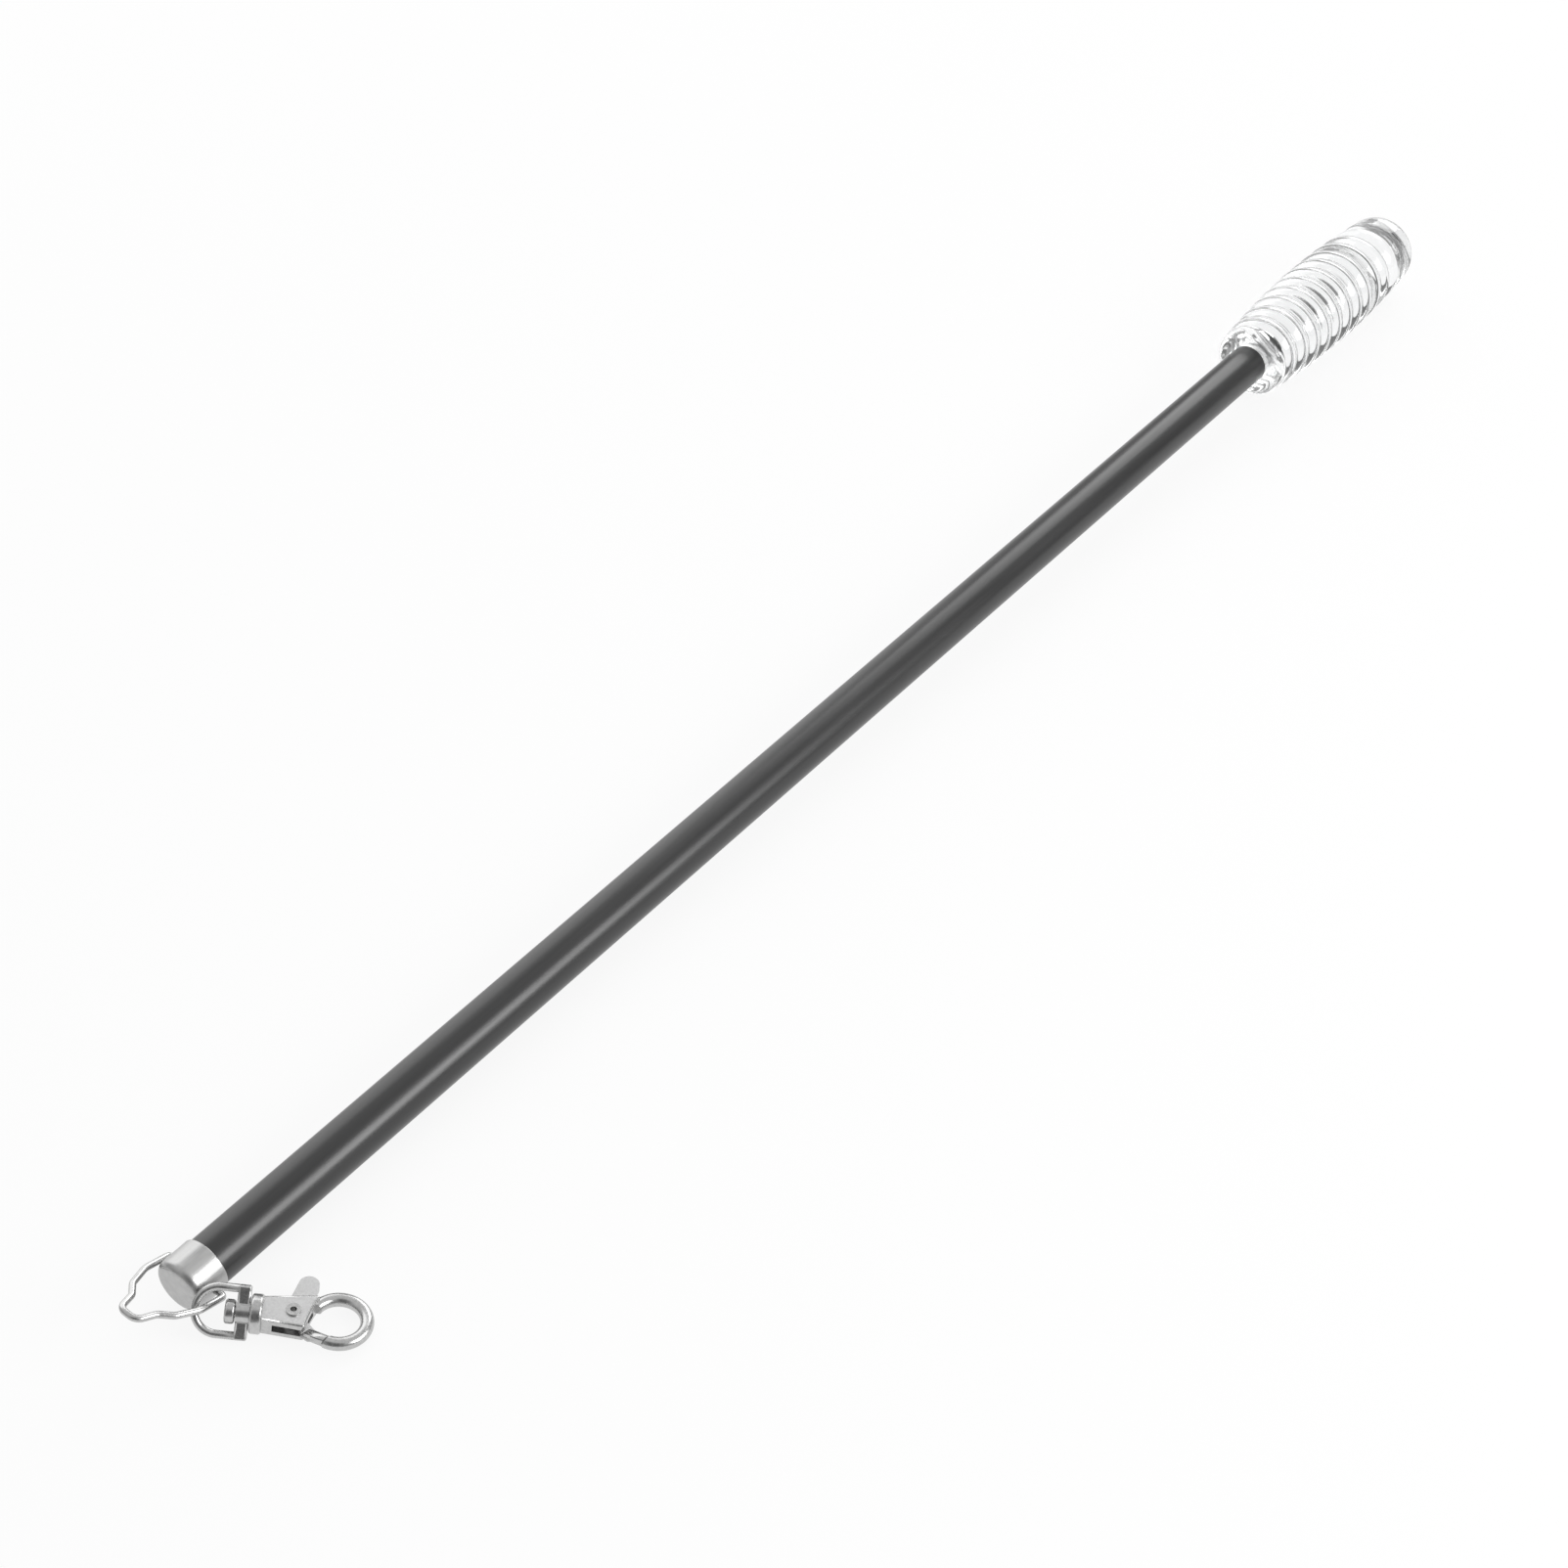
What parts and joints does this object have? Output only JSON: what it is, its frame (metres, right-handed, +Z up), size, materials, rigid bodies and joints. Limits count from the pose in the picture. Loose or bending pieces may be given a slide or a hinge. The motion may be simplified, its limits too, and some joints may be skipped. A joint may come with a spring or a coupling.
{
  "type": "curtain wand",
  "caption": "Draw wand for curtains: black tube with a clear ribbed grip, and a capped end whose wire bail carries a swivel spring clasp that hooks to a curtain carrier.",
  "frame": {"origin": "centre of the bounding box at floor level, with the wand lying down", "axes": "+X along the wand from clasp end to grip, +Z up"},
  "size_m": [0.57, 0.0527, 0.0281],
  "materials": {
    "black_tube": "satin black",
    "cap_metal": "satin nickel",
    "clear_plastic": "clear, polished",
    "wire_metal": "bright nickel",
    "clasp_metal": "bright nickel, cast",
    "lever_metal": "light satin nickel",
    "spring_steel": "plain wire"
  },
  "bodies": {
    "wand": {"rod": "black_tube", "end_cap": "cap_metal", "handle_grip": "clear_plastic"},
    "bail": {"bail": "wire_metal"},
    "eye": {"swivel_eye": "clasp_metal"},
    "clasp": {"clasp_body": "clasp_metal", "rivet": "clasp_metal", "gate_spring": "spring_steel"},
    "lever": {"gate_lever": "lever_metal"}
  },
  "joints": [
    {"name": "bail_swing", "type": "hinge", "parent": "wand", "child": "bail", "pos_m": [-0.26463, 0.01171, 0.00651], "axis": [0.0021, -0.9903, -0.1392], "range_deg": [-60, 60]},
    {"name": "eye_swing", "type": "hinge", "parent": "bail", "child": "eye", "pos_m": [-0.26981, 0.00333, 0.00715], "axis": [-0.9446, -0.0476, 0.3248], "range_deg": [-45, 5]},
    {"name": "clasp_swivel", "type": "hinge", "parent": "eye", "child": "clasp", "pos_m": [-0.26379, -0.00517, 0.00513], "axis": [0.5946, -0.789, -0.1547], "continuous": true},
    {"name": "lever_press", "type": "hinge", "parent": "clasp", "child": "lever", "pos_m": [-0.25921, -0.01124, 0.00393], "axis": [0.0931, -0.1236, 0.988], "range_deg": [0, 22], "stiffness_Nm_per_rad": 0.004, "springref_deg": -17.19, "deforming": ["gate_spring"]}
  ]
}
